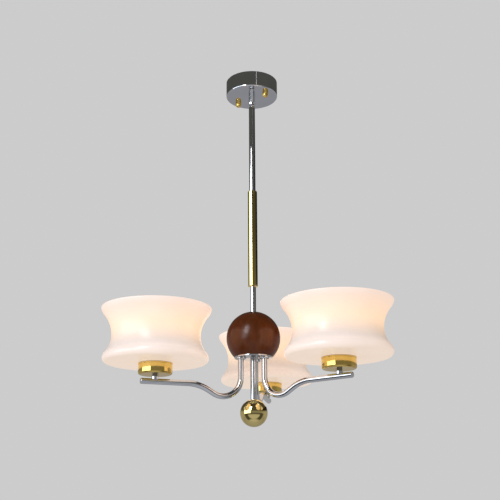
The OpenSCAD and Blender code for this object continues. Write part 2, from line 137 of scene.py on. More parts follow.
def without_doubles(points):
    """Drops points that repeat the one before, and keeps the rest off the far side of the axis."""
    kept = []
    for point in points:
        if not kept or (Vector(point) - Vector(kept[-1])).length > SAME_POINT:
            kept.append((max(point[0], 0), point[1]))
    return kept


def arc(cx, cz, r, start, end, steps):
    """Points along part of a circle, with its angles in degrees from +r towards +z."""
    angles = [math.radians(start + (end - start) * k / steps) for k in range(steps + 1)]
    return [(cx + r * math.cos(a), cz + r * math.sin(a)) for a in angles]


# ---- meshes ----

def to_mesh(name, vertices, faces):
    """A smooth object from vertices in millimetres."""
    mesh = bpy.data.meshes.new(name)
    mesh.from_pydata([Vector(v) * MM for v in vertices], [], faces)
    work = bmesh.new()
    work.from_mesh(mesh)
    bmesh.ops.recalc_face_normals(work, faces=work.faces)
    work.to_mesh(mesh)
    work.free()
    mesh.shade_smooth()
    made = bpy.data.objects.new(name, mesh)
    bpy.context.scene.collection.objects.link(made)
    return made


def lathe(name, outline, centre=(0, 0), sides=96, shape=None):
    """Turns an outline of (r, z) points round an upright axis. shape(r, z, angle) may change each radius."""
    vertices, faces, rings = [], [], []
    for r, z in outline:
        if r < ON_AXIS:
            rings.append([len(vertices)])
            vertices.append((centre[0], centre[1], z))
            continue
        rings.append(list(range(len(vertices), len(vertices) + sides)))
        for k in range(sides):
            angle = math.tau * k / sides
            at = shape(r, z, angle) if shape else r
            vertices.append((centre[0] + at * math.cos(angle), centre[1] + at * math.sin(angle), z))
    closed = outline[0][0] > ON_AXIS or outline[-1][0] > ON_AXIS
    pairs = len(rings) if closed else len(rings) - 1
    for k in range(pairs):
        a, b = rings[k], rings[(k + 1) % len(rings)]
        for side in range(sides):
            after = (side + 1) % sides
            if len(a) == 1:
                faces.append((a[0], b[after], b[side]))
            elif len(b) == 1:
                faces.append((a[side], a[after], b[0]))
            else:
                faces.append((a[side], a[after], b[after], b[side]))
    return to_mesh(name, vertices, faces)


def sweep(name, stations, sides=40):
    """A solid bar with closed ends through (x, z, slope angle, radius) stations in the XZ plane."""
    vertices, faces = [], []
    for x, z, slope, r in stations:
        across = (-math.sin(slope), math.cos(slope))
        for k in range(sides):
            turn = math.tau * k / sides
            up = r * math.cos(turn)
            vertices.append((x + up * across[0], r * math.sin(turn), z + up * across[1]))
    for k in range(len(stations) - 1):
        for side in range(sides):
            after = (side + 1) % sides
            a, b = k * sides, (k + 1) * sides
            faces.append((a + side, a + after, b + after, b + side))
    faces.append(tuple(range(sides)))
    last = (len(stations) - 1) * sides
    faces.append(tuple(range(last, last + sides)))
    return to_mesh(name, vertices, faces)


def turn_to_arm(made, arm):
    """Arm 1's piece, turned to its own arm in the mesh itself."""
    made.data.transform(Matrix.Rotation(math.radians(120 * (arm - 1)), 4, "Z"))


def helix(depth, pitch, low, high):
    """A thread for lathe: the radius dips by depth once a turn, and fades out at both ends."""
    def shape(r, z, angle):
        fade = min(1, max(0, (z - low) / pitch), max(0, (high - z) / pitch))
        return r - depth * fade * (0.5 - 0.5 * math.cos(angle - math.tau * z / pitch))
    return shape


def ribs(depth, count, low, high, fade=0.8):
    """Grip ribs for lathe, between two heights."""
    def shape(r, z, angle):
        within = min(1, max(0, (z - low) / fade), max(0, (high - z) / fade))
        return r - depth * within * (0.5 - 0.5 * math.cos(count * angle)) ** 2
    return shape


# ---- materials ----

def make_material(name, metallic=0.0, **settings):
    """A Principled material, with the settings that are the same all over the surface set on its sockets."""
    made = bpy.data.materials.new(name)
    made.use_nodes = True
    shader = made.node_tree.nodes["Principled BSDF"]
    shader.inputs["Metallic"].default_value = metallic
    for socket, value in settings.items():
        shader.inputs[socket.replace("_", " ")].default_value = value
    return made, made.node_tree, shader


def node(tree, kind, values=None, **properties):
    """A new node, with its properties set first and then the plain values of its sockets."""
    made = tree.nodes.new(kind)
    for key, value in properties.items():
        setattr(made, key, value)
    for socket, value in (values or {}).items():
        made.inputs[socket].default_value = value
    return made


def wire(tree, source, socket):
    """Links an output to a socket, or sets the socket to a plain value."""
    if isinstance(source, bpy.types.NodeSocket):
        tree.links.new(source, socket)
    else:
        socket.default_value = source


def mix(tree, factor, a, b, blend_type="MIX"):
    """Mixes two colours. The factor and both colours are outputs or plain values."""
    made = node(tree, "ShaderNodeMix", data_type="RGBA", blend_type=blend_type)
    wire(tree, factor, made.inputs["Factor"])
    wire(tree, a, made.inputs["A"])
    wire(tree, b, made.inputs["B"])
    return made.outputs["Result"]


def place(tree, stretch=(1, 1, 1)):
    """Object coordinates, which are the CAD frame's metres, stretched along each axis."""
    coordinates = node(tree, "ShaderNodeTexCoord")
    mapping = node(tree, "ShaderNodeMapping", {"Scale": stretch})
    tree.links.new(coordinates.outputs["Object"], mapping.inputs["Vector"])
    return mapping.outputs["Vector"]


def noise(tree, at, scale, detail=3.0, roughness=0.5):
    """Cloudy noise from 0 to 1, mostly between 0.3 and 0.7."""
    made = node(tree, "ShaderNodeTexNoise", {"Scale": scale, "Detail": detail, "Roughness": roughness})
    tree.links.new(at, made.inputs["Vector"])
    return made.outputs["Fac"]


def ramp(tree, factor, stops, smooth=False):
    """A colour ramp from (position, colour) stops."""
    made = node(tree, "ShaderNodeValToRGB")
    if smooth:
        made.color_ramp.interpolation = "B_SPLINE"
    elements = made.color_ramp.elements
    while len(elements) < len(stops):
        elements.new(0.5)
    for element, (position, colour) in zip(elements, stops):
        element.position = position
        element.color = (*colour, 1)
    tree.links.new(factor, made.inputs["Fac"])
    return made.outputs["Color"]


def between(tree, factor, low, high, to_low, to_high):
    """Maps a factor from one range to another."""
    made = node(tree, "ShaderNodeMapRange",
                {"From Min": low, "From Max": high, "To Min": to_low, "To Max": to_high})
    tree.links.new(factor, made.inputs["Value"])
    return made.outputs["Result"]


def bump(tree, shader, height, strength, distance):
    """Fine relief on a shader's surface, with its depth in metres."""
    made = node(tree, "ShaderNodeBump", {"Strength": strength, "Distance": distance})
    tree.links.new(height, made.inputs["Height"])
    tree.links.new(made.outputs["Normal"], shader.inputs["Normal"])


def plated_metal(name, bright, dull, rough_low, rough_high, polish=900):
    """Polished metal: slow changes of tint, faint handling marks in the gloss, and fine polishing lines."""
    made, tree, shader = make_material(name, metallic=1.0)
    at = place(tree)
    tint = ramp(tree, noise(tree, at, 24, 4), [(0.3, dull), (0.7, bright)])
    tree.links.new(tint, shader.inputs["Base Color"])
    marks = noise(tree, at, 85, 6, 0.62)
    tree.links.new(between(tree, marks, 0.35, 0.7, rough_low, rough_high), shader.inputs["Roughness"])
    lines = noise(tree, place(tree, (1, 1, 6)), polish, 2)
    bump(tree, shader, lines, 0.01, 0.00001)
    return made


def make_chrome():
    return plated_metal("chrome", (0.80, 0.81, 0.83), (0.75, 0.76, 0.78), 0.035, 0.075)


def make_brass():
    return plated_metal("polished_brass", (0.92, 0.66, 0.20), (0.84, 0.56, 0.13), 0.045, 0.10)


def make_pale_brass():
    return plated_metal("pale_brass", (0.92, 0.75, 0.32), (0.86, 0.68, 0.26), 0.03, 0.06)


def make_zinc():
    return plated_metal("zinc_steel", (0.64, 0.65, 0.62), (0.50, 0.52, 0.50), 0.28, 0.42, polish=500)


def make_lamp_cap():
    return plated_metal("lamp_cap", (0.76, 0.75, 0.70), (0.66, 0.65, 0.60), 0.16, 0.28)


def make_wood():
    """Dark lacquered wood: upright grain with darker pores under a satin coat."""
    made, tree, shader = make_material("dark_wood", Coat_Weight=0.6, Coat_Roughness=0.24)
    shader.inputs["Specular IOR Level"].default_value = 0.08
    grain = noise(tree, place(tree, (1, 1, 0.12)), 130, 6, 0.6)
    colour = ramp(tree, grain, [(0.30, (0.108, 0.024, 0.002)), (0.52, (0.138, 0.031, 0.003)),
                                (0.72, (0.168, 0.040, 0.004))])
    pores = noise(tree, place(tree, (1, 1, 0.05)), 620, 3, 0.7)
    shade = ramp(tree, pores, [(0.30, (0.78, 0.75, 0.73)), (0.44, (1, 1, 1))])
    tree.links.new(mix(tree, 0.8, colour, shade, "MULTIPLY"), shader.inputs["Base Color"])
    tree.links.new(between(tree, grain, 0.3, 0.7, 0.44, 0.34), shader.inputs["Roughness"])
    bump(tree, shader, pores, 0.10, 0.0002)
    return made


# The painted glow of the lit glass, from its underside up to its rim: emission colours that stand in for the
# lamp's light through the glass. The dim band is painted shade, where little of the lamp's light reaches the
# glass.
GLOW_UNDER = (0.60, 0.46, 0.35)
GLOW_FLARE = (0.56, 0.41, 0.32)
GLOW_BAND = (0.30, 0.23, 0.19)
GLOW_BRIGHT = (0.78, 0.475, 0.25)
GLOW_RIM = (0.60, 0.44, 0.37)


def make_opal(name, strength):
    """Opal glass lit from inside, with the light painted on as a glow by height: it glows most level with
    the lamp, less at the rim and the underside, and least in a band between the underside and the waist,
    which is painted shade."""
    made, tree, shader = make_material(name, Coat_Weight=0.2, Coat_Roughness=0.3, Emission_Strength=strength)
    shader.inputs["Specular IOR Level"].default_value = 0.3
    at = place(tree)
    split = node(tree, "ShaderNodeSeparateXYZ")
    tree.links.new(at, split.inputs["Vector"])
    height = between(tree, split.outputs["Z"], shade_low * MM, shade_high * MM, 0, 1)
    # Noise that moves the edges of the painted glow's bands up and down a little.
    streaks = noise(tree, place(tree, (1, 1, 0.35)), 16, 3, 0.5)
    wander = between(tree, streaks, 0.3, 0.7, -0.018, 0.018)
    level = node(tree, "ShaderNodeMath", operation="ADD")
    tree.links.new(height, level.inputs[0])
    tree.links.new(wander, level.inputs[1])
    # The painted glow and painted shade, as emission colour by height.
    glow = ramp(tree, level.outputs["Value"],
                [(0.0, GLOW_UNDER), (0.05, GLOW_FLARE), (0.14, GLOW_FLARE), (0.27, GLOW_BAND),
                 (0.50, GLOW_BRIGHT), (0.70, GLOW_BRIGHT), (1.0, GLOW_RIM)], smooth=True)
    tree.links.new(glow, shader.inputs["Emission Color"])
    milk = ramp(tree, noise(tree, at, 30, 4), [(0.3, (0.86, 0.84, 0.83)), (0.7, (0.90, 0.885, 0.88))])
    tree.links.new(milk, shader.inputs["Base Color"])
    tree.links.new(between(tree, noise(tree, at, 60, 5), 0.3, 0.7, 0.26, 0.34), shader.inputs["Roughness"])
    bump(tree, shader, noise(tree, at, 38, 2), 0.05, 0.0006)
    return made


def make_lamp_glass():
    """Frosted glass that glows warm all over, with a fine uneven frost."""
    made, tree, shader = make_material("lamp_glass", Roughness=0.4, Emission_Strength=1.6)
    at = place(tree)
    frost = noise(tree, at, 400, 4)
    warm = ramp(tree, frost, [(0.3, (1.0, 0.80, 0.55)), (0.7, (1.0, 0.85, 0.62))])
    tree.links.new(warm, shader.inputs["Emission Color"])
    tree.links.new(warm, shader.inputs["Base Color"])
    bump(tree, shader, frost, 0.08, 0.0001)
    return made


def moulded(name, colour, rough, speck=0.05, grit=700):
    """Moulded plastic or rubber: faint mottling and a fine grain."""
    made, tree, shader = make_material(name)
    at = place(tree)
    darker = tuple(c * (1 - speck) for c in colour)
    mottle = ramp(tree, noise(tree, at, 120, 4), [(0.3, darker), (0.7, colour)])
    tree.links.new(mottle, shader.inputs["Base Color"])
    gloss = between(tree, noise(tree, at, 90, 3), 0.3, 0.7, rough - 0.05, rough + 0.05)
    tree.links.new(gloss, shader.inputs["Roughness"])
    bump(tree, shader, noise(tree, at, grit, 3), 0.10, 0.0001)
    return made


materials = {
    "chrome": make_chrome(),
    "polished_brass": make_brass(),
    "pale_brass": make_pale_brass(),
    "zinc_steel": make_zinc(),
    "lamp_cap": make_lamp_cap(),
    "dark_wood": make_wood(),
    "opal_glass": make_opal("opal_glass", 1.0),
    # The inside of each shade gets a weaker painted glow, so that its lit inside isn't overexposed.
    "opal_glass_inside": make_opal("opal_glass_inside", 0.3),
    "lamp_glass": make_lamp_glass(),
    "ivory_plastic": moulded("ivory_plastic", (0.80, 0.76, 0.64), 0.38),
    "white_plastic": moulded("white_plastic", (0.86, 0.85, 0.82), 0.28),
    "nylon": moulded("nylon", (0.78, 0.76, 0.70), 0.45),
    "gasket_rubber": moulded("gasket_rubber", (0.52, 0.50, 0.47), 0.6),
    "lead_insulation": moulded("lead_insulation", (0.025, 0.025, 0.028), 0.45, speck=0.2),
}


def dress(made, slot):
    """Gives a piece one of the materials above."""
    made.data.materials.clear()
    made.data.materials.append(materials[slot])


def stand_in(made, *nodes):
    """This piece stands for the CAD nodes, takes their slot and moves with their body."""
    slot = slot_of[nodes[0]]
    dress(made, slot)
    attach(made, body_of[nodes[0]])
    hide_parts(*nodes)
    return made


def dress_cad_nodes():
    """Every CAD node gets its slot's material, whether it is replaced later or stays."""
    for name, made in frame["nodes"].items():
        if not made.material_slots:
            made.data.materials.append(materials[slot_of[name]])
        for place_for in made.material_slots:
            place_for.material = materials[slot_of[name]]


# ---- ceiling end ----

def make_canopy():
    """The canopy with its rounded lower edge, a softened rim and the hole for the nipple. The holes for the
    two screws aren't cut, because the cap nuts hide them."""
    low, high = span("canopy")
    wall_r = radius("canopy")
    sheet = 1.2
    edge = 2.2
    made = lathe("canopy_shell", rounded([
        (wall_r, high, 0.3), (wall_r, low, edge), (WIDE_HOLE_R, low, 0.2), (WIDE_HOLE_R, low + sheet, 0.2),
        (wall_r - sheet, low + sheet, edge - sheet), (wall_r - sheet, high, 0.3)], 8), sides=192)
    stand_in(made, "canopy")


def make_cap_nuts():
    """Knurled brass cap nuts with domed ends, one on each hanging screw. Their bores aren't cut."""
    low, high = span("cap_nuts")
    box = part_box("cap_nuts")
    nut_r = radius("cap_nuts")
    spacing = (box[1].x - box[0].x) / MM / 2 - nut_r
    groove_z = low + 6.2
    dome_r = nut_r - 0.7
    outline = rounded([(0, low)] + arc(0, low + dome_r, dome_r, -84, 0, 14) + [
        (dome_r, groove_z - 0.6, 0.2), (dome_r - 0.5, groove_z, 0.2), (nut_r, groove_z + 0.6, 0.25),
        (nut_r, high - 0.3, 0.2), (nut_r - 0.5, high, 0.1), (0, high)], 6)
    grips = ribs(0.18, 30, groove_z + 0.6, high - 0.4)
    for number, side in enumerate((-1, 1), 1):
        made = lathe(f"cap_nut_{number}", outline, (side * spacing, 0), sides=168, shape=grips)
        if number == 1:
            stand_in(made, "cap_nuts")
        else:
            dress(made, slot_of["cap_nuts"])
            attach(made, body_of["cap_nuts"])


def make_swivel():
    """The swivel's barrel and its coned retaining ring, each with softened edges and a parting groove."""
    barrel_low, barrel_high = span("swivel_body")
    skirt_low, skirt_high = span("swivel_skirt")
    barrel_r = radius("swivel_body")
    thread_r = 6.15
    socket_r = 5.4
    socket_z = -38.5
    made = lathe("swivel_barrel", rounded([
        (barrel_r, skirt_high, 0.25), (barrel_r, barrel_high, 0.25), (WIDE_HOLE_R, barrel_high),
        (WIDE_HOLE_R, socket_z), (socket_r, socket_z), (socket_r, barrel_low), (thread_r, barrel_low),
        (thread_r, skirt_high)], 5), sides=96)
    stand_in(made, "swivel_body")
    mouth_r = 4.7
    made = lathe("swivel_ring", rounded([
        (barrel_r, skirt_high, 0.25), (barrel_r, skirt_low + 4, 0.8), (barrel_r - 1.2, skirt_low, 0.4),
        (mouth_r, skirt_low, 0.3), (mouth_r, skirt_low + 1.8), (socket_r, barrel_low - 0.6),
        (thread_r + GAP, barrel_low), (thread_r + GAP, skirt_high)], 5), sides=96)
    stand_in(made, "swivel_skirt")


# ---- stem ----

def make_upper_rod():
    """The upper chrome tube."""
    low, high = span("upper_rod")
    r = radius("upper_rod")
    made = lathe("upper_rod_tube", rounded([
        (r, low, 0.2), (WIDE_HOLE_R, low), (WIDE_HOLE_R, high), (r, high, 0.5)], 6), sides=96)
    stand_in(made, "upper_rod")


def make_sleeve():
    """The brass sleeve and its two bevelled bushes, with a fine groove where their soft edges meet."""
    low, high = span("brass_sleeve")
    r = radius("brass_sleeve")
    wall = 1.0
    made = lathe("brass_sleeve_tube", rounded([
        (r, low, 0.12), (r - wall, low), (r - wall, high), (r, high, 0.12)], 4), sides=128)
    stand_in(made, "brass_sleeve")
    dress(made, "pale_brass")
    bush_low, bush_high = span("sleeve_bushes")
    flange = high - bush_high
    spigot = 8
    spigot_r = r - wall - GAP
    for name, end, inward, bore in (("sleeve_bush_top", bush_high, 1, radius("upper_rod") + GAP),
                                    ("sleeve_bush_bottom", bush_low, -1, radius("lower_rod") + GAP)):
        seat = end + inward * flange
        corners = [(bore, seat - inward * spigot), (spigot_r, seat - inward * spigot), (spigot_r, seat),
                   (r, seat, 0.12), (r, end - inward * 1.2, 0.4), (r - 1.3, end, 0.4), (bore, end, 0.15)]
        made = lathe(name, rounded(corners, 5), sides=128)
        if name == "sleeve_bush_top":
            stand_in(made, "sleeve_bushes")
        else:
            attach(made, body_of["sleeve_bushes"])
        dress(made, "pale_brass")


def make_lower_rod():
    """The lower chrome tube, which ends inside the wood ball."""
    low, high = span("lower_rod")
    r = radius("lower_rod")
    made = lathe("lower_rod_tube", rounded([
        (r, low, 0.2), (NARROW_HOLE_R, low), (NARROW_HOLE_R, high), (r, high, 0.3)], 6), sides=96)
    stand_in(made, "lower_rod")


# ---- hub ----

def make_wood_ball():
    """The turned ball: softened edges at the rod's hole and at the flat, and the hollow below."""
    hole_r = radius("lower_rod") + GAP
    cavity_r = 33
    cavity_h = 25
    seat_depth = 10
    cavity_top = ball_flat_z + cavity_h
    seat_z = ball_z + ball_r - seat_depth
    top_turn = math.degrees(math.asin((hole_r + 0.7) / ball_r))
    flat_turn = math.degrees(math.asin((ball_flat_z + 0.5 - ball_z) / ball_r))
    outline = [(hole_r, ball_top - 0.55)]
    outline += arc(0, ball_z, ball_r, 90 - top_turn, flat_turn, 90)
    flat_r = ball_r * math.cos(math.radians(flat_turn)) - 0.35
    outline += [(flat_r, ball_flat_z), (cavity_r + 0.4, ball_flat_z), (cavity_r, ball_flat_z + 0.4),
                (cavity_r, cavity_top - 1), (cavity_r - 1, cavity_top), (NARROW_HOLE_R, cavity_top),
                (NARROW_HOLE_R, seat_z), (hole_r, seat_z)]
    stand_in(lathe("wood_ball_turned", outline, sides=160), "wood_ball")


def make_hub_plate():
    """The hub plate, with a rounded lower edge. Its top is a gap lower than the CAD's, so that the lock nuts
    turn freely. The holes for the arms aren't cut, because the collars and the ball hide them."""
    low, high = span("hub_plate")
    r = radius("hub_plate")
    top = high - GAP
    made = lathe("hub_plate_disc", rounded([
        (r, top, 0.15), (r, low, 0.7), (NARROW_HOLE_R, low, 0.15), (NARROW_HOLE_R, top, 0.15)], 6),
        sides=160)
    stand_in(made, "hub_plate")


def make_finial():
    """The finial's stem and its polished ball, which has a small bevel where the stem enters."""
    low, high = span("finial_stem")
    plate_low = span("hub_plate")[0]
    ball_low, ball_high = span("finial_ball")
    r = radius("finial_ball")
    centre_z = ball_low + r
    stem_r = radius("finial_stem")
    seat_depth = 2.7
    thread_depth = 9
    seat_z = centre_z + r - seat_depth
    made = lathe("finial_rod", rounded([
        (0, low), (NARROW_R, low, 0.3), (NARROW_R, seat_z), (stem_r, seat_z, 0.3), (stem_r, plate_low, 0.3),
        (NARROW_R, plate_low), (NARROW_R, high, 0.4), (0, high)], 5), sides=96)
    stand_in(made, "finial_stem")
    hole_r = stem_r + GAP
    top_turn = math.degrees(math.asin((hole_r + 0.45) / r))
    outline = [(0, ball_low)] + arc(0, centre_z, r, -89.3, 90 - top_turn, 110)
    bevel_z = centre_z + math.sqrt(r ** 2 - hole_r ** 2) - 0.3
    outline += [(hole_r, bevel_z), (hole_r, seat_z), (NARROW_HOLE_R, seat_z),
                (NARROW_HOLE_R, seat_z - thread_depth), (0, seat_z - thread_depth)]
    made = lathe("finial_ball_spun", outline, sides=160)
    stand_in(made, "finial_ball")
    dress(made, "pale_brass")


# ---- arms ----

# The arm's centre line, in millimetres: how far out it leaves the plate, the lower bend and how far that
# bend's centre is below the ball's, the slope that rises from it, and the upper bend into the level run.
ARM_ROOT = 25
BEND_R = 35
BEND_DROP = 74.5
RISE_ANGLE = math.radians(30)
RISE_LENGTH = 10
EASE_R = 80
TUBE_R = 5.3


def arm_stations(top, end_x, end_bevel):
    """The arm tube's stations: upright, lower bend, slope, upper bend, level run and a rounded end."""
    inset = 1
    bend_x = ARM_ROOT + BEND_R
    bend_z = ball_z - BEND_DROP
    rise_x = bend_x + BEND_R * math.sin(RISE_ANGLE)
    rise_z = bend_z - BEND_R * math.cos(RISE_ANGLE)
    ease_x = rise_x + RISE_LENGTH * math.cos(RISE_ANGLE) + EASE_R * math.sin(RISE_ANGLE)
    run_z = rise_z + RISE_LENGTH * math.sin(RISE_ANGLE) + EASE_R * (1 - math.cos(RISE_ANGLE))
    down = -math.pi / 2
    stations = [(ARM_ROOT, top, down, TUBE_R), (ARM_ROOT, top - inset, down, TUBE_R)]
    bend_steps = 40
    for k in range(bend_steps + 1):
        turn = (math.pi / 2 + RISE_ANGLE) * k / bend_steps
        stations.append((bend_x - BEND_R * math.cos(turn), bend_z - BEND_R * math.sin(turn),
                         down + turn, TUBE_R))
    ease_steps = 16
    for k in range(ease_steps + 1):
        slope = RISE_ANGLE * (1 - k / ease_steps)
        stations.append((ease_x - EASE_R * math.sin(slope), run_z - EASE_R * (1 - math.cos(slope)),
                         slope, TUBE_R))
    end_steps = 6
    stations.append((end_x - end_bevel - inset, run_z, 0, TUBE_R))
    for k in range(end_steps + 1):
        turn = math.pi / 2 * k / end_steps
        stations.append((end_x - end_bevel * (1 - math.sin(turn)), run_z, 0,
                         TUBE_R - end_bevel * (1 - math.cos(turn))))
    stations.append((end_x, run_z, 0, TUBE_R * 0.45))
    return stations


def make_arm_tube(arm):
    """The bent tube, whose bore isn't cut. Its spigot, in the hub plate, is a piece of its own."""
    plate_low = span("hub_plate")[0]
    end_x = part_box("arm_tube_1")[1].x / MM
    end_bevel = 1.1
    made = sweep(f"arm_tube_bent_{arm}", arm_stations(plate_low, end_x, end_bevel))
    turn_to_arm(made, arm)
    stand_in(made, f"arm_tube_{arm}")
    bore_r = 2.6
    spigot_low = plate_low + 0.02
    spigot_top = span("arm_tube_1")[1]
    spigot = lathe(f"arm_spigot_{arm}", rounded([
        (bore_r, spigot_low), (NARROW_R, spigot_low), (NARROW_R, spigot_top, 0.4),
        (bore_r, spigot_top, 0.2)], 4),
        (ARM_ROOT, 0), sides=96, shape=helix(0.35, 1.25, plate_low + 1, spigot_top - 0.5))
    turn_to_arm(spigot, arm)
    dress(spigot, "zinc_steel")
    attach(spigot, f"arm_{arm}")


def make_arm_collar(arm):
    """The small turned collar round the tube, under the hub plate."""
    low, high = span("arm_collar_1")
    r = radius("arm_collar_1")
    made = lathe(f"arm_collar_turned_{arm}", rounded([
        (r, high, 0.15), (r, low + 1, 0.6), (r - 1, low, 0.35), (TUBE_R + GAP, low, 0.15),
        (TUBE_R + GAP, high)], 6), (ARM_ROOT, 0), sides=96)
    turn_to_arm(made, arm)
    stand_in(made, f"arm_collar_{arm}")


CUP_WALL = 1.2


def make_cup(arm):
    """The spun brass cup: a soft lower edge, a fine bead at the lip, and the lampholder stud's hole."""
    low, high = span("cup_1")
    r = radius("cup_1")
    bead = 0.3
    edge = 3.4
    side_r = r - bead
    inner_r = r - CUP_WALL - bead
    made = lathe(f"cup_spun_{arm}", rounded([
        (r, high, 0.35), (r, high - 1.6, 0.3), (side_r, high - 2.1, 0.3), (side_r, low, edge),
        (WIDE_HOLE_R, low, 0.15), (WIDE_HOLE_R, low + CUP_WALL, 0.15),
        (inner_r, low + CUP_WALL, edge - CUP_WALL), (inner_r, high, 0.2)], 10),
        (reach, 0), sides=160)
    turn_to_arm(made, arm)
    stand_in(made, f"cup_{arm}")


SKIRT_R = 19.5


def make_lampholder(arm):
    """The lampholder: a plain base, and a skirt with the coarse thread that takes the shade ring."""
    low, high = span("lampholder_1")
    floor_z = span("cup_1")[0] + CUP_WALL
    base_h = 14.2
    skirt_low = floor_z + base_h
    socket_floor, cap_top = span("bulb_cap_1")
    lead_r = 3.6
    stud_r = 5
    base_r = 13.5
    bore_r = 13.28
    mouth_r = 16.8
    mouth_z = cap_top - 1
    made = lathe(f"lampholder_skirt_{arm}", rounded(
        [(lead_r, low), (stud_r, low, 0.3), (stud_r, floor_z), (base_r, floor_z, 0.4),
         (base_r, skirt_low - 0.6, 0.3), (SKIRT_R, skirt_low, 0.8)]
        + [(SKIRT_R, skirt_low + k) for k in range(1, int(high - skirt_low) - 1)]
        + [(SKIRT_R, high, 0.8), (mouth_r, high, 0.6), (mouth_r, mouth_z), (bore_r, mouth_z, 0.5),
           (bore_r, socket_floor), (lead_r, socket_floor)], 5),
        (reach, 0), sides=120, shape=lampholder_thread(skirt_low, high))
    turn_to_arm(made, arm)
    stand_in(made, f"lampholder_{arm}")


def lampholder_thread(low, high):
    """The skirt's outer thread, which leaves the bore and the base alone."""
    thread = helix(0.7, 4, low + 1, high - 1)
    return lambda r, z, angle: thread(r, z, angle) if r > SKIRT_R - 0.5 else r


# The shade's section: the radii of its waist and base, of the curves below and above the waist, of the flare
# at the rim with its end angle in degrees, and of the shoulder and the lower edge. Then the thickness of the
# glass and its hole. FLAT_STEPS are where the flat underside gets its points, as parts of its width.
WAIST_R = 79.2
BASE_R = 94
WAIST_CURVE_R = 48
UPPER_CURVE_R = 60
FLARE_R = 26
RIM_ANGLE = 16
SHOULDER_R = 13.7
BASE_EDGE_R = 7.5
GLASS = 3.2
GLASS_HOLE_R = 20.5
FLAT_STEPS = (0.03, 0.15, 0.3, 0.45, 0.6, 0.75, 0.9, 0.98)


def glass_line(inset):
    """Half of the glass's section, inset from its outer face, from its hole to its rim."""
    low_turn = math.degrees(math.acos(1 - (BASE_R - WAIST_R) / (SHOULDER_R + WAIST_CURVE_R)))
    rim = math.radians(RIM_ANGLE)
    rim_in = FLARE_R * (1 - math.cos(rim))
    high_turn = math.degrees(math.acos(1 - (rim_r - WAIST_R + rim_in) / (FLARE_R + UPPER_CURVE_R)))
    waist_z = BASE_EDGE_R + (SHOULDER_R + WAIST_CURVE_R) * math.sin(math.radians(low_turn))
    flare_z = waist_z + (UPPER_CURVE_R + FLARE_R) * math.sin(math.radians(high_turn))
    flare_x = WAIST_R + UPPER_CURVE_R - (UPPER_CURVE_R + FLARE_R) * math.cos(math.radians(high_turn))
    flat = BASE_R - BASE_EDGE_R - GLASS_HOLE_R
    line = [(GLASS_HOLE_R + 0.3, inset)] + [(GLASS_HOLE_R + flat * part, inset) for part in FLAT_STEPS]
    line += arc(BASE_R - BASE_EDGE_R, BASE_EDGE_R, BASE_EDGE_R - inset, -90, 0, 12)
    line += arc(BASE_R - SHOULDER_R, BASE_EDGE_R, SHOULDER_R - inset, 0, low_turn, 12)
    line += arc(WAIST_R + WAIST_CURVE_R, waist_z, WAIST_CURVE_R + inset, 180 + low_turn, 180, 22)
    line += arc(WAIST_R + UPPER_CURVE_R, waist_z, UPPER_CURVE_R + inset, 180, 180 - high_turn, 22)
    line += arc(flare_x, flare_z, FLARE_R - inset, -high_turn, -RIM_ANGLE, 14)
    return [(r, shade_low + z) for r, z in line]


def blown(r, z, angle):
    """Blown glass is a hair out of round. It only ever shrinks, so that the shade stays in its CAD box."""
    broad = 1 + math.cos(3 * angle + z / 40)
    fine = 1 + math.cos(5 * angle - z / 25)
    return r * (0.9993 - 0.0005 * broad - 0.0003 * fine)


def make_shade(arm):
    """The waisted opal shade, with a fire-polished round rim. The inner faces have a weaker painted glow."""
    outer = glass_line(0)
    inner = glass_line(GLASS)
    out_end, in_end = Vector(outer[-1]), Vector(inner[-1])
    middle = (out_end + in_end) / 2
    start = out_end - middle
    lip_steps = 8
    lip = [middle + Matrix.Rotation(math.pi * k / lip_steps, 2) @ start for k in range(1, lip_steps)]
    outline = without_doubles(outer + [tuple(point) for point in lip] + inner[::-1])
    sides = 192
    made = lathe(f"shade_glass_{arm}", outline, (reach, 0), sides=sides, shape=blown)
    turn_to_arm(made, arm)
    stand_in(made, f"shade_{arm}")
    made.data.materials.append(materials["opal_glass_inside"])
    first_inside = (len(outline) - len(inner)) * sides
    for face in made.data.polygons[first_inside:]:
        face.material_index = 1


def make_shade_ring(arm):
    """The ring nut: a ribbed flange and a plain collar."""
    low, high = span("shade_ring_1")
    r = radius("shade_ring_1")
    bore_r = SKIRT_R + GAP
    collar_r = 22.5
    flange_top = low + 2.5
    made = lathe(f"shade_ring_ribbed_{arm}", rounded([
        (r, low, 0.4), (bore_r, low, 0.2), (bore_r, high, 0.3), (collar_r, high, 0.8),
        (collar_r, flange_top, 0.5), (r, flange_top, 0.6)], 5),
        (reach, 0), sides=288, shape=ring_ribs(low, flange_top))
    turn_to_arm(made, arm)
    stand_in(made, f"shade_ring_{arm}")


def ring_ribs(low, high):
    """Grip ribs on the ring's flange only."""
    grips = ribs(0.9, 36, low - 1, high + 1)
    flange_from_r = 24
    return lambda r, z, angle: grips(r, z, angle) if r > flange_from_r else r


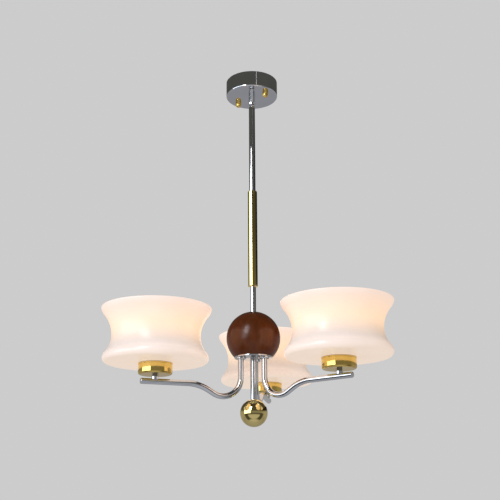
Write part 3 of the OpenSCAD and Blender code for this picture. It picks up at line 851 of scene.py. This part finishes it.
def make_lamp(arm):
    """The lamp: a screw cap with a round thread and a contact, and a frosted globe on a neck."""
    cap_low, cap_high = span("bulb_cap_1")
    cap_r = radius("bulb_cap_1")
    glass_low, glass_high = span("bulb_globe_1")
    globe_r = radius("bulb_globe_1")
    globe_z = glass_high - globe_r
    thread_low = cap_low + 6.4
    step = 0.45
    steps = int((cap_high - thread_low - 0.6) / step)
    corners = [(0, cap_low), (4.6, cap_low, 0.8), (5, cap_low + 2, 0.4), (12.6, cap_low + 6, 0.8),
               (cap_r, thread_low)]
    corners += [(cap_r, thread_low + step * k) for k in range(1, steps)]
    corners += [(cap_r, cap_high, 0.2), (0, cap_high)]
    cap = lathe(f"lamp_cap_threaded_{arm}", rounded(corners, 5), (reach, 0), sides=96,
                shape=cap_thread(thread_low, cap_high - 1.5))
    turn_to_arm(cap, arm)
    stand_in(cap, f"bulb_cap_{arm}")
    neck_r = cap_r + 0.3
    join_angle = -42
    join_turn = math.radians(join_angle)
    join = (globe_r * math.cos(join_turn), globe_z + globe_r * math.sin(join_turn))
    slope = (-math.sin(join_turn), math.cos(join_turn))
    pull = 9
    outline = [(0, glass_low), (neck_r - 0.4, glass_low)]
    outline += hermite((neck_r, glass_low + 0.4), (0, pull), join, (slope[0] * pull, slope[1] * pull), 14)
    outline += arc(0, globe_z, globe_r, join_angle + 3, 89, 40) + [(0, globe_z + globe_r)]
    globe = lathe(f"lamp_globe_{arm}", outline, (reach, 0), sides=96)
    turn_to_arm(globe, arm)
    stand_in(globe, f"bulb_globe_{arm}")


def cap_thread(low, high):
    """The lamp cap's round thread, which leaves its narrower end alone."""
    thread = helix(0.75, 3.63, low, high)
    thread_from_r = 12.9
    return lambda r, z, angle: thread(r, z, angle) if r > thread_from_r else r


def hermite(start, leave, end, arrive, steps):
    """Points on a smooth curve between two points with given slopes."""
    points = []
    for k in range(steps + 1):
        t = k / steps
        a, b = 2 * t ** 3 - 3 * t ** 2 + 1, t ** 3 - 2 * t ** 2 + t
        c, d = -2 * t ** 3 + 3 * t ** 2, t ** 3 - t ** 2
        points.append(tuple(a * start[i] + b * leave[i] + c * end[i] + d * arrive[i] for i in (0, 1)))
    return points


dress_cad_nodes()
make_canopy()
make_cap_nuts()
make_swivel()
make_upper_rod()
make_sleeve()
make_lower_rod()
make_wood_ball()
make_hub_plate()
make_finial()
for arm in ARMS:
    make_arm_tube(arm)
    make_arm_collar(arm)
    make_cup(arm)
    make_lampholder(arm)
    make_shade(arm)
    make_shade_ring(arm)
    make_lamp(arm)


# ---- camera ----

# The camera's direction, and its place from the wood ball's centre in metres: away from it, below it, and to
# the left of it.
VIEW_AZIMUTH = math.radians(38.6)
VIEW_PITCH = math.radians(17.45)
VIEW_ROLL = math.radians(-0.33)
VIEW_BACK = 1.5385
VIEW_DOWN = 0.3111
VIEW_LEFT = 0.0054
LENS = 60.42
SENSOR = 36

TOWARDS_CAMERA = Vector((math.sin(VIEW_AZIMUTH), -math.cos(VIEW_AZIMUTH), 0))
CAMERA_RIGHT = Vector((math.cos(VIEW_AZIMUTH), math.sin(VIEW_AZIMUTH), 0))


def make_camera():
    """The camera looks up at the chandelier from below the arms."""
    data = bpy.data.cameras.new("camera")
    data.lens = LENS
    data.sensor_width = SENSOR
    data.clip_start = 0.05
    data.clip_end = 60
    made = bpy.data.objects.new("camera", data)
    bpy.context.scene.collection.objects.link(made)
    made.location = (TOWARDS_CAMERA * VIEW_BACK - CAMERA_RIGHT * VIEW_LEFT
                     + Vector((0, 0, ball_z * MM - VIEW_DOWN)))
    turn = (Matrix.Rotation(VIEW_AZIMUTH, 4, "Z") @ Matrix.Rotation(math.pi / 2 + VIEW_PITCH, 4, "X")
            @ Matrix.Rotation(VIEW_ROLL, 4, "Z"))
    made.rotation_euler = turn.to_euler()
    bpy.context.scene.camera = made


# ---- studio ----

BACKDROP = 0.604
SOFT_LIGHT = (0.29, 0.285, 0.28)
# How far the black screen is turned away from the camera's right.
SCREEN_TURN = math.radians(32)
# The floor's height in metres, and its radius and thickness in millimetres.
FLOOR_Z = -2.3
FLOOR_R = 14000
FLOOR_T = 20
# What the lights are aimed at.
MIDDLE = Vector((0, 0, -0.5))


def studio_place(turn, elevation, distance):
    """A place seen from the middle: turn is counted from the camera to its right, both angles in degrees."""
    turn, elevation = math.radians(turn), math.radians(elevation)
    level = TOWARDS_CAMERA * math.cos(turn) + CAMERA_RIGHT * math.sin(turn)
    return MIDDLE + (level * math.cos(elevation) + Vector((0, 0, math.sin(elevation)))) * distance


def softbox(name, turn, elevation, distance, width, height, radiance, colour):
    """A rectangular light aimed at the middle, which the camera doesn't see."""
    data = bpy.data.lights.new(name, "AREA")
    data.shape = "RECTANGLE"
    data.size = width
    data.size_y = height
    data.energy = radiance * math.pi * width * height
    data.color = colour
    made = bpy.data.objects.new(name, data)
    bpy.context.scene.collection.objects.link(made)
    made.location = studio_place(turn, elevation, distance)
    aim = MIDDLE - made.location
    made.rotation_euler = aim.to_track_quat("-Z", "Y").to_euler()
    made.visible_camera = False
    return made


def make_floor():
    """A wide pale disc. It isn't seen in reflections and lights nothing."""
    top = FLOOR_Z / MM
    below = top - FLOOR_T
    made = lathe("floor", [(0, top), (FLOOR_R, top), (FLOOR_R, below), (0, below)], sides=96)
    floor, tree, shader = make_material("floor", Roughness=0.8, Emission_Strength=0.28)
    tint = ramp(tree, noise(tree, place(tree), 3, 3),
                [(0.3, (0.74, 0.745, 0.76)), (0.7, (0.77, 0.775, 0.79))])
    tree.links.new(tint, shader.inputs["Base Color"])
    tree.links.new(tint, shader.inputs["Emission Color"])
    made.data.materials.append(floor)
    made.visible_glossy = False
    made.visible_diffuse = False


def sky(stops):
    """Turns (elevation in degrees, colour) stops into the stops of a ramp over the height of a direction."""
    return [((math.sin(math.radians(elevation)) + 1) / 2, colour) for elevation, colour in stops]


def along(tree, direction, axis):
    """How far a direction points along an axis, from -1 to 1."""
    made = node(tree, "ShaderNodeVectorMath", {1: axis}, operation="DOT_PRODUCT")
    tree.links.new(direction, made.inputs[0])
    return made.outputs["Value"]


def background(tree, colour):
    """A world background of one colour, or of a colour that comes from an output."""
    made = node(tree, "ShaderNodeBackground")
    wire(tree, colour, made.inputs["Color"])
    return made.outputs["Background"]


def either(tree, chosen, otherwise, when_chosen):
    """One of two backgrounds."""
    made = node(tree, "ShaderNodeMixShader")
    tree.links.new(chosen, made.inputs["Fac"])
    tree.links.new(otherwise, made.inputs[1])
    tree.links.new(when_chosen, made.inputs[2])
    return made.outputs["Shader"]


BLACK = (0, 0, 0)
WHITE = (1, 1, 1)
FLANK_COLOUR = (0.07, 0.07, 0.07, 1)
SCREEN_COLOUR = (0.015, 0.014, 0.012, 1)

# The mirrored studio away from the camera and towards it, by elevation in degrees.
BEHIND = [(-90, (0.36, 0.37, 0.40)), (-27, (0.29, 0.29, 0.31)), (-12, (0.36, 0.36, 0.36)),
          (7, (0.34, 0.34, 0.33)), (14, (0.16, 0.155, 0.145)), (19, (0.075, 0.073, 0.066)),
          (25, (0.08, 0.078, 0.07)), (90, (0.05, 0.05, 0.05))]
AHEAD = [(-90, (0.48, 0.49, 0.52)), (-20, (0.45, 0.46, 0.48)), (-12, (0.10, 0.10, 0.105)),
         (-4, (0.12, 0.12, 0.12)), (0, (0.30, 0.30, 0.30)), (8, (0.22, 0.22, 0.21)),
         (14, (0.14, 0.137, 0.13)), (19, (0.065, 0.063, 0.056)), (27, (0.08, 0.078, 0.07)),
         (90, (0.05, 0.05, 0.05))]


def mirrored_studio(tree):
    """What the metals mirror: a pale floor with dark flanks on the camera's side, dim walls, a dark upper
    half, and a black screen at the back right."""
    direction = node(tree, "ShaderNodeTexCoord").outputs["Generated"]
    split = node(tree, "ShaderNodeSeparateXYZ")
    tree.links.new(direction, split.inputs["Vector"])
    height = between(tree, split.outputs["Z"], -1, 1, 0, 1)
    facing = along(tree, direction, TOWARDS_CAMERA)
    side = between(tree, facing, -0.1, 0.4, 0, 1)
    walls = mix(tree, side, ramp(tree, height, sky(BEHIND)), ramp(tree, height, sky(AHEAD)))
    flank = ramp(tree, between(tree, facing, -1, 1, 0, 1),
                 [(0.50, BLACK), (0.57, WHITE), (0.75, WHITE), (0.81, BLACK)])
    below = ramp(tree, height, sky([(-62, BLACK), (-48, WHITE), (-9, WHITE), (-3, BLACK)]))
    shaded = mix(tree, mix(tree, 1, flank, below, "MULTIPLY"), walls, FLANK_COLOUR)
    screen = CAMERA_RIGHT * math.cos(SCREEN_TURN) - TOWARDS_CAMERA * math.sin(SCREEN_TURN)
    width = between(tree, along(tree, direction, screen), 0.6, 0.8, 0, 1)
    band = ramp(tree, height, sky([(10, BLACK), (16, WHITE), (24, WHITE), (29, BLACK)]))
    shown = node(tree, "ShaderNodeMath", operation="MULTIPLY")
    tree.links.new(width, shown.inputs[0])
    tree.links.new(band, shown.inputs[1])
    return mix(tree, shown.outputs["Value"], shaded, SCREEN_COLOUR)


def make_world():
    """The camera sees a plain pale backdrop, reflections show a studio, and matt surfaces get even light."""
    world = bpy.data.worlds.new("studio")
    bpy.context.scene.world = world
    world.use_nodes = True
    world.cycles.sampling_method = "NONE"
    tree = world.node_tree
    tree.nodes.clear()
    seen = background(tree, (BACKDROP, BACKDROP, BACKDROP, 1))
    mirrored = background(tree, mirrored_studio(tree))
    soft = background(tree, (*SOFT_LIGHT, 1))
    path = node(tree, "ShaderNodeLightPath")
    lit = either(tree, path.outputs["Is Glossy Ray"], soft, mirrored)
    out = node(tree, "ShaderNodeOutputWorld")
    tree.links.new(either(tree, path.outputs["Is Camera Ray"], lit, seen), out.inputs["Surface"])


make_camera()
make_floor()
make_world()

# The window and the near light are seen only in reflections, and the key and the fill never are.
window = softbox("window", turn=-58, elevation=10, distance=3.0, width=3.5, height=2.0, radiance=2.5,
                 colour=(0.80, 0.88, 1.0))
window.visible_diffuse = False
near = softbox("near", turn=-31, elevation=27, distance=1.0, width=0.24, height=0.55, radiance=8.0,
               colour=(0.92, 0.95, 1.0))
near.visible_diffuse = False
key = softbox("key", turn=-36, elevation=15.5, distance=3.0, width=2.7, height=1.5, radiance=2.5,
              colour=(0.80, 0.88, 1.0))
key.visible_glossy = False
softbox("strip", turn=21, elevation=34, distance=3.0, width=0.04, height=0.9, radiance=1.0,
        colour=(1.0, 1.0, 1.0))
fill = softbox("fill", turn=75, elevation=30, distance=3.2, width=1.4, height=1.0, radiance=0.5,
               colour=(1.0, 0.98, 0.95))
fill.visible_glossy = False

bpy.context.scene.view_settings.view_transform = "Standard"
